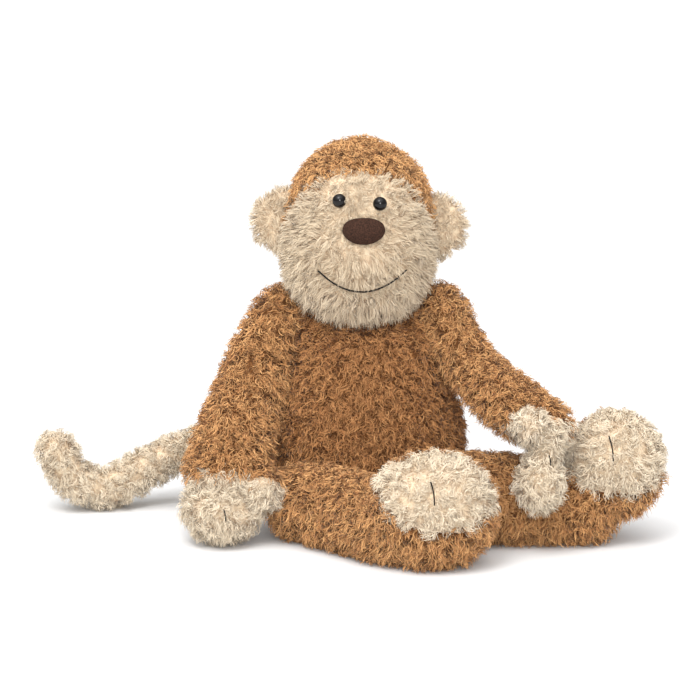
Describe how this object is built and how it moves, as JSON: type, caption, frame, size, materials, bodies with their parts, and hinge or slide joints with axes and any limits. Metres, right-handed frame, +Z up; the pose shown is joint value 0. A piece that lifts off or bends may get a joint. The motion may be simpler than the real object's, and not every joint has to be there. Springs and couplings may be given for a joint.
{
  "type": "stuffed monkey",
  "caption": "Seated plush monkey with curly brown fur, cream face, ears, hands, soles and tail, bead eyes, a suede nose and a stitched smile.",
  "frame": {"origin": "centre of the flat seat face, where it rests on a table", "axes": "+Z up; the monkey faces -Y, so +X is its left side"},
  "size_m": [0.3774, 0.1977, 0.2352],
  "materials": {
    "brown_plush": "matte",
    "cream_plush": "matte",
    "nose_suede": "matte",
    "eye_gloss": "gloss",
    "washer_plastic": "satin",
    "dark_thread": "matte",
    "filling": "matte",
    "pouch_cloth": "matte"
  },
  "bodies": {
    "torso": {"torso_skin": "brown_plush", "seat_panel": "brown_plush", "pellet_pouch": "pouch_cloth", "torso_filling": "filling"},
    "neck": {"neck_core": "filling"},
    "head": {"face_panel": "cream_plush", "head_back_skin": "brown_plush", "head_filling": "filling", "nose_pad": "nose_suede", "mouth_stitch": "dark_thread", "right_eye": "eye_gloss", "left_eye": "eye_gloss", "right_eye_washer": "washer_plastic", "left_eye_washer": "washer_plastic", "right_ear_front": "cream_plush", "right_ear_back": "cream_plush", "left_ear_front": "cream_plush", "left_ear_back": "cream_plush"},
    "right_shoulder": {"right_shoulder_knot": "dark_thread"},
    "right_arm": {"right_sleeve_skin": "brown_plush", "right_hand_skin": "cream_plush", "right_arm_filling": "filling", "right_hand_stitch": "dark_thread"},
    "left_shoulder": {"left_shoulder_knot": "dark_thread"},
    "left_arm": {"left_sleeve_skin": "brown_plush", "left_hand_skin": "cream_plush", "left_arm_filling": "filling", "left_hand_stitch": "dark_thread"},
    "right_hip": {"right_hip_knot": "dark_thread"},
    "right_leg": {"right_leg_skin": "brown_plush", "right_sole_panel": "cream_plush", "right_leg_filling": "filling", "right_sole_stitch": "dark_thread"},
    "left_hip": {"left_hip_knot": "dark_thread"},
    "left_leg": {"left_leg_skin": "brown_plush", "left_sole_panel": "cream_plush", "left_leg_filling": "filling", "left_sole_stitch": "dark_thread"},
    "tail_root": {"tail_knot": "dark_thread"},
    "tail": {"tail_skin": "cream_plush", "tail_filling": "filling"}
  },
  "joints": [
    {"name": "neck_turn", "type": "hinge", "parent": "torso", "child": "neck", "pos_m": [-0.001, 0, 0.129], "axis": [0, 0, 1], "range_deg": [-30, 30], "stiffness_Nm_per_rad": 0.25},
    {"name": "neck_nod", "type": "hinge", "parent": "neck", "child": "head", "pos_m": [-0.001, 0, 0.129], "axis": [1, 0, 0], "range_deg": [-12, 10], "stiffness_Nm_per_rad": 0.35},
    {"name": "right_shoulder_swing", "type": "hinge", "parent": "torso", "child": "right_shoulder", "pos_m": [-0.0495, 0.002, 0.1335], "axis": [-1, 0, 0], "range_deg": [0, 70]},
    {"name": "right_shoulder_lift", "type": "hinge", "parent": "right_shoulder", "child": "right_arm", "pos_m": [-0.0495, 0.002, 0.1335], "axis": [0, 1, 0], "range_deg": [0, 70]},
    {"name": "left_shoulder_swing", "type": "hinge", "parent": "torso", "child": "left_shoulder", "pos_m": [0.0456, 0.002, 0.134], "axis": [-1, 0, 0], "range_deg": [0, 60]},
    {"name": "left_shoulder_lift", "type": "hinge", "parent": "left_shoulder", "child": "left_arm", "pos_m": [0.0456, 0.002, 0.134], "axis": [0, -1, 0], "range_deg": [0, 55]},
    {"name": "right_hip_spread", "type": "hinge", "parent": "torso", "child": "right_hip", "pos_m": [-0.0365, -0.04, 0.024], "axis": [0, 0, -1], "range_deg": [0, 20]},
    {"name": "right_hip_raise", "type": "hinge", "parent": "right_hip", "child": "right_leg", "pos_m": [-0.0365, -0.04, 0.024], "axis": [-0.7526, -0.6585, 0], "range_deg": [-15, 25]},
    {"name": "left_hip_spread", "type": "hinge", "parent": "torso", "child": "left_hip", "pos_m": [0.028, -0.034, 0.0245], "axis": [0, 0, 1], "range_deg": [0, 12]},
    {"name": "left_hip_raise", "type": "hinge", "parent": "left_hip", "child": "left_leg", "pos_m": [0.028, -0.034, 0.0245], "axis": [-0.0867, -0.9962, 0], "range_deg": [-20, 0]},
    {"name": "tail_swing", "type": "hinge", "parent": "torso", "child": "tail_root", "pos_m": [-0.006, 0.046, 0.042], "axis": [0, 0, -1], "range_deg": [0, 100]},
    {"name": "tail_lift", "type": "hinge", "parent": "tail_root", "child": "tail", "pos_m": [-0.006, 0.046, 0.042], "axis": [0, 1, 0], "range_deg": [0, 45]}
  ]
}
